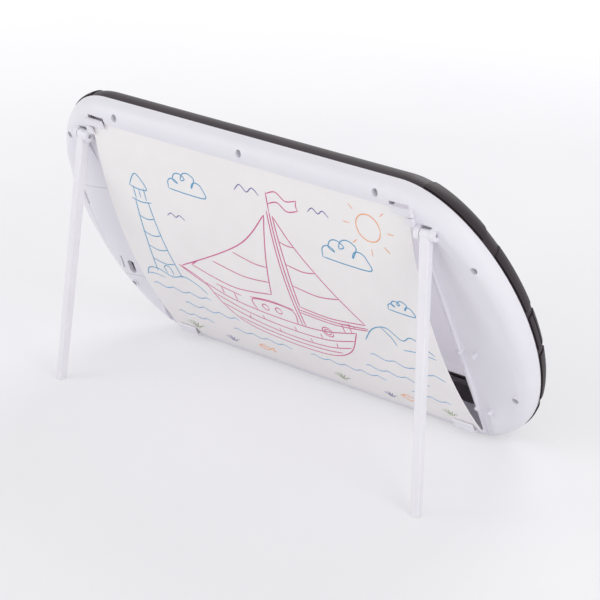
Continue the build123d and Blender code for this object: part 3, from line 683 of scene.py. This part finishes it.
for name, lines, first, second, width in (
    ("ink_boat", boat, shade(196, 60, 128), shade(212, 92, 150), 1.0),
    ("ink_sea", sea, shade(84, 150, 206), shade(112, 170, 218), 0.9),
    ("ink_shore", shore, shade(52, 142, 190), shade(84, 164, 206), 0.95),
    ("ink_sun_and_fish", warm, shade(238, 152, 84), shade(244, 176, 120), 0.9),
    ("ink_grass", weeds, shade(122, 142, 92), shade(146, 164, 116), 0.9),
    ("ink_gulls", gulls, shade(76, 74, 148), shade(102, 98, 168), 0.9),
):
    ink_mesh = bmesh.new()
    for line in lines:
        draw_line(ink_mesh, line, width)
    new_piece(name, ink_mesh, ink(name, first, second), "board")


# Floor and surround. The board stands on a pale matt floor in a white room. Seen by
# the eye the floor is white, and only the soft shadows close to the board tone it.
floor_reach = 6.0
floor_drop = 0.0002
# Distance from the board, in metres, and the floor's glow there
near_floor = (0.4, 0.4)
far_floor = (1.6, 0.85)


def seen_directly(nodes, links):
    """1 where the eye sees a surface itself, in a mirror or through glass."""
    path = nodes.new("ShaderNodeLightPath")
    total = path.outputs["Is Camera Ray"]
    for kind in ("Is Glossy Ray", "Is Transmission Ray"):
        both = nodes.new("ShaderNodeMath")
        both.operation = "MAXIMUM"
        links.new(total, both.inputs[0])
        links.new(path.outputs[kind], both.inputs[1])
        total = both.outputs["Value"]
    return total


floor_mesh = bmesh.new()
floor_corners = []
for across, back in ((-1, -1), (1, -1), (1, 1), (-1, 1)):
    corner = (across * floor_reach, back * floor_reach, -floor_drop)
    floor_corners.append(floor_mesh.verts.new(corner))
floor_mesh.faces.new(floor_corners)
floor_data = bpy.data.meshes.new("floor")
floor_mesh.to_mesh(floor_data)
floor_mesh.free()
floor = bpy.data.objects.new("floor", floor_data)
bpy.context.collection.objects.link(floor)

pale, pale_shader, pale_place = new_finish("pale_floor")
dust = speckle(pale, pale_place, size=0.3)
seen = seen_directly(pale.node_tree.nodes, pale.node_tree.links)
toned = pale.node_tree.nodes.new("ShaderNodeMixRGB")
join(pale, seen, toned.inputs["Fac"])
join(pale, tinted(pale, dust, shade(236, 236, 238), shade(240, 240, 241)), toned.inputs["Color1"])
join(pale, tinted(pale, dust, shade(186, 185, 190), shade(190, 189, 193)), toned.inputs["Color2"])
join(pale, toned.outputs["Color"], pale_shader.inputs["Base Color"])
pale_shader.inputs["Roughness"].default_value = 0.9
pale_shader.inputs["Specular IOR Level"].default_value = 0.1
pale_shader.inputs["Emission Color"].default_value = (1, 1, 1, 1)
reach = pale.node_tree.nodes.new("ShaderNodeVectorMath")
reach.operation = "LENGTH"
join(pale, pale_place, reach.inputs[0])
glow = pale.node_tree.nodes.new("ShaderNodeMapRange")
glow.inputs["From Min"].default_value, glow.inputs["To Min"].default_value = near_floor
glow.inputs["From Max"].default_value, glow.inputs["To Max"].default_value = far_floor
join(pale, reach.outputs["Value"], glow.inputs["Value"])
lift = pale.node_tree.nodes.new("ShaderNodeMath")
lift.operation = "MULTIPLY"
join(pale, seen, lift.inputs[0])
join(pale, glow.outputs["Result"], lift.inputs[1])
join(pale, lift.outputs["Value"], pale_shader.inputs["Emission Strength"])
floor.data.materials.append(pale)

room_strength = 0.55
room = bpy.data.worlds.new("white_room")
bpy.context.scene.world = room
room.use_nodes = True
room_nodes, room_links = room.node_tree.nodes, room.node_tree.links
room_light = room_nodes["Background"]
room_light.inputs["Color"].default_value = (1, 1, 1, 1)
strength = room_nodes.new("ShaderNodeMapRange")
strength.inputs["To Min"].default_value = room_strength
strength.inputs["To Max"].default_value = 1.0
room_links.new(seen_directly(room_nodes, room_links), strength.inputs["Value"])
room_links.new(strength.outputs["Result"], room_light.inputs["Strength"])


# Lamps. Large soft boxes light the board: a high and a low one at the viewer's right,
# one at the left, a faint low one that faces the legs and one at the drawing side.
def soft_box(name, place, aim, side, watts):
    """Square area lamp that points at a target."""
    light = bpy.data.lights.new(name, "AREA")
    light.size = side
    light.energy = watts
    lamp = bpy.data.objects.new(name, light)
    bpy.context.collection.objects.link(lamp)
    lamp.location = place
    lamp.rotation_euler = (Vector(aim) - Vector(place)).to_track_quat("-Z", "Y").to_euler()


board_middle = (0, 0.04, 0.09)
soft_box("right_high_box", (-1.05, 0.25, 0.8), board_middle, side=0.5, watts=2.6)
soft_box("right_low_box", (-1.2, 0.5, 0.35), board_middle, side=0.6, watts=2.2)
soft_box("viewer_box", (0.1, 1.2, 0.3), board_middle, side=0.6, watts=1.0)
soft_box("left_box", (0.9, 0.8, 0.6), board_middle, side=0.6, watts=3.4)
soft_box("drawing_side_box", (0.2, -1.0, 0.9), board_middle, side=0.8, watts=6)


# Camera. It stands behind the board, out past the end with the buttons, and looks down
# at it with a long lens. Its right side is held a little low.
eye = Vector((-0.8956524, 0.9832071, 0.7082877))
eye_turn = math.radians(43.118)
eye_dip = math.radians(26.091)
eye_roll = math.radians(-4.174)
lens = 141.331
sensor_width = 36
nearest_view = 0.01

right = Vector((-math.cos(eye_turn), -math.sin(eye_turn), 0))
above = Vector(
    (math.sin(eye_turn) * math.sin(eye_dip), -math.cos(eye_turn) * math.sin(eye_dip), math.cos(eye_dip))
)
rolled_right = math.cos(eye_roll) * right + math.sin(eye_roll) * above
rolled_above = -math.sin(eye_roll) * right + math.cos(eye_roll) * above
columns = [rolled_right, rolled_above, rolled_right.cross(rolled_above)]
camera_data = bpy.data.cameras.new("viewer")
camera_data.lens = lens
camera_data.sensor_width = sensor_width
camera_data.clip_start = nearest_view
camera = bpy.data.objects.new("viewer", camera_data)
bpy.context.collection.objects.link(camera)
camera.matrix_world = Matrix.Translation(eye) @ Matrix(columns).transposed().to_4x4()
bpy.context.scene.camera = camera
bpy.context.scene.view_settings.view_transform = "Standard"
